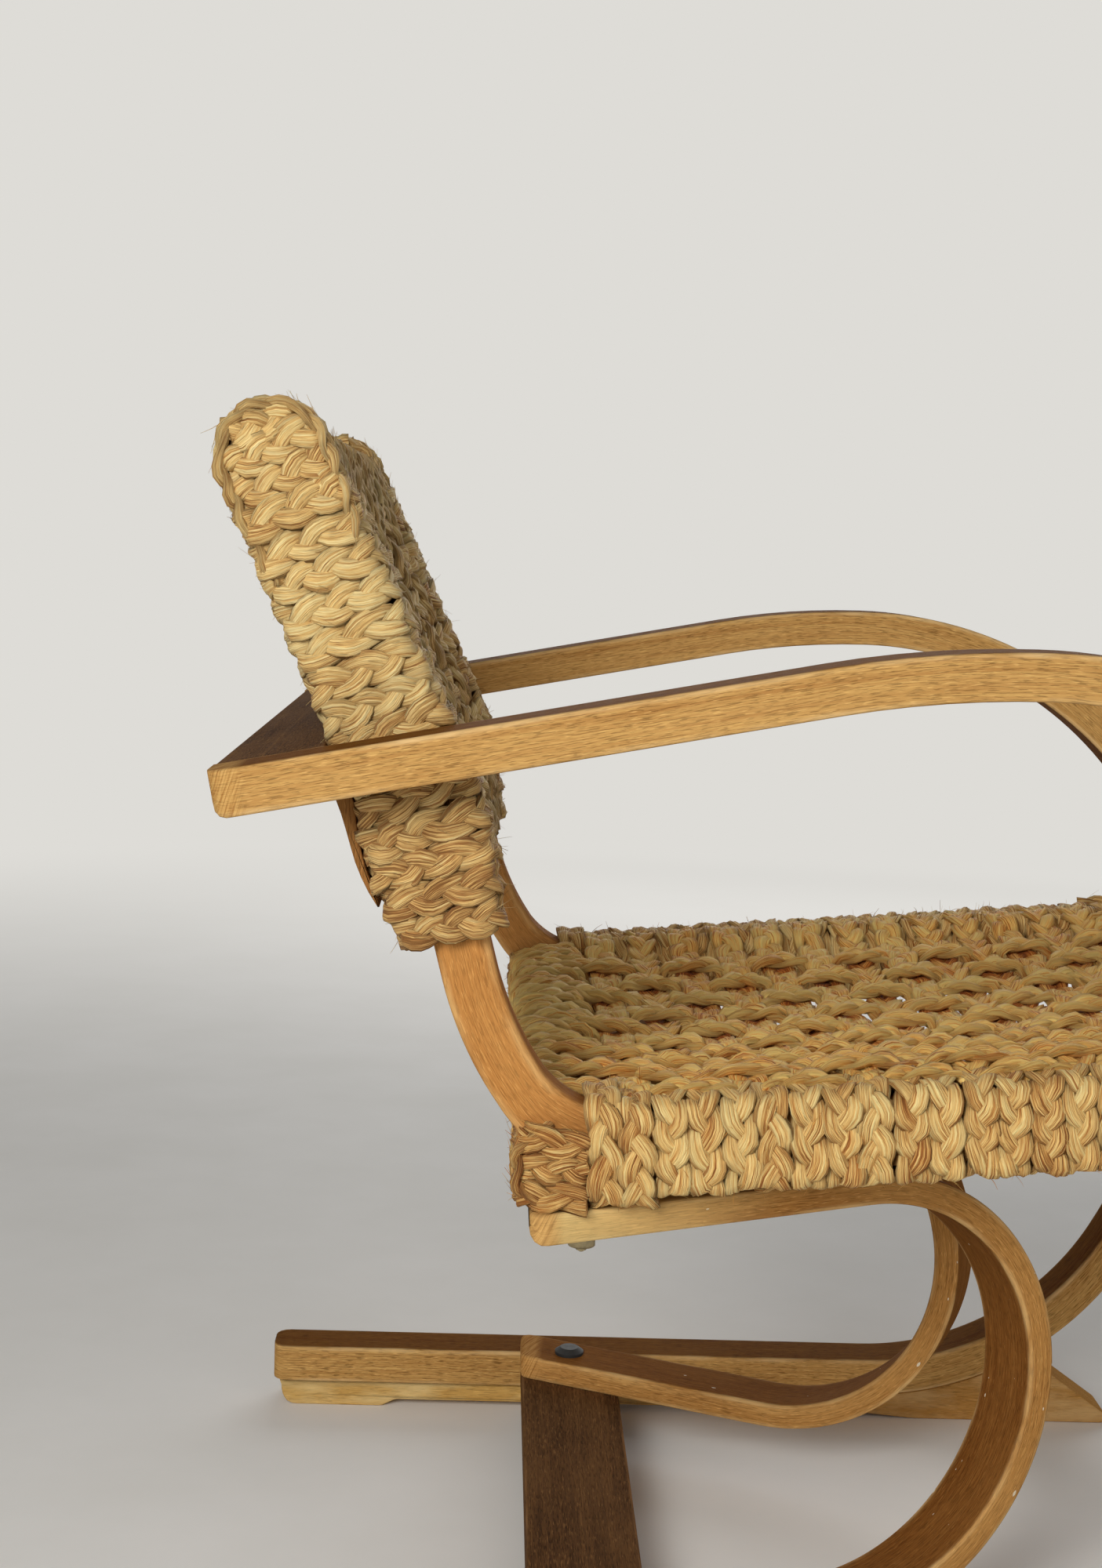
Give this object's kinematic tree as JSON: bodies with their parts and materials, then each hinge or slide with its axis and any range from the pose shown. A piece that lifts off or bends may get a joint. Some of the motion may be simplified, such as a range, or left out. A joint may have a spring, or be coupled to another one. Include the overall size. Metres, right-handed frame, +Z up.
{
  "type": "cantilever armchair",
  "caption": "Low cantilever armchair with bent laminated side loops, C-shaped wooden springs under the seat, and a seat and back wound and woven in plaited rope.",
  "frame": {"origin": "centre of the bounding box at the floor", "axes": "+X to the chair's front, +Y to the sitter's left, +Z up"},
  "size_m": [0.733, 0.61, 0.7602],
  "materials": {
    "ash": "satin, worn",
    "pale_ash": "matte, bare",
    "dark_wood": "satin, worn",
    "seat_rope": "rough plaited plant fibre",
    "back_rope": "rough plaited plant fibre",
    "blackened_steel": "dull black",
    "dull_steel": "dull"
  },
  "bodies": {
    "root": {"left_loop": "ash", "right_loop": "ash", "left_skid": "pale_ash", "right_skid": "pale_ash", "skid_screws": "dull_steel", "rear_plank": "dark_wood", "rear_plank_dowels": "pale_ash", "floor_plank": "dark_wood", "floor_plank_dowels": "pale_ash", "left_spring": "ash", "right_spring": "ash", "left_side_laminate": "ash", "right_side_laminate": "ash", "heel_blocks": "ash", "seat_front_rail": "pale_ash", "seat_rear_rail": "pale_ash", "seat_dowels": "pale_ash", "back_top_rail": "pale_ash", "back_bottom_rail": "pale_ash", "back_dowels": "pale_ash", "back_cleats": "ash", "cleat_screws": "dull_steel", "left_seat_winding": "seat_rope", "right_seat_winding": "seat_rope", "left_back_winding": "back_rope", "right_back_winding": "back_rope", "rear_corner_wraps": "seat_rope", "front_corner_wraps": "seat_rope", "back_end_wraps": "back_rope", "woven_seat": "seat_rope", "woven_back": "back_rope", "foot_bolts": "blackened_steel", "foot_washers": "dull_steel", "foot_nuts": "dull_steel", "seat_bolts": "dull_steel", "seat_washers": "dull_steel", "seat_nuts": "blackened_steel"}
  },
  "joints": []
}
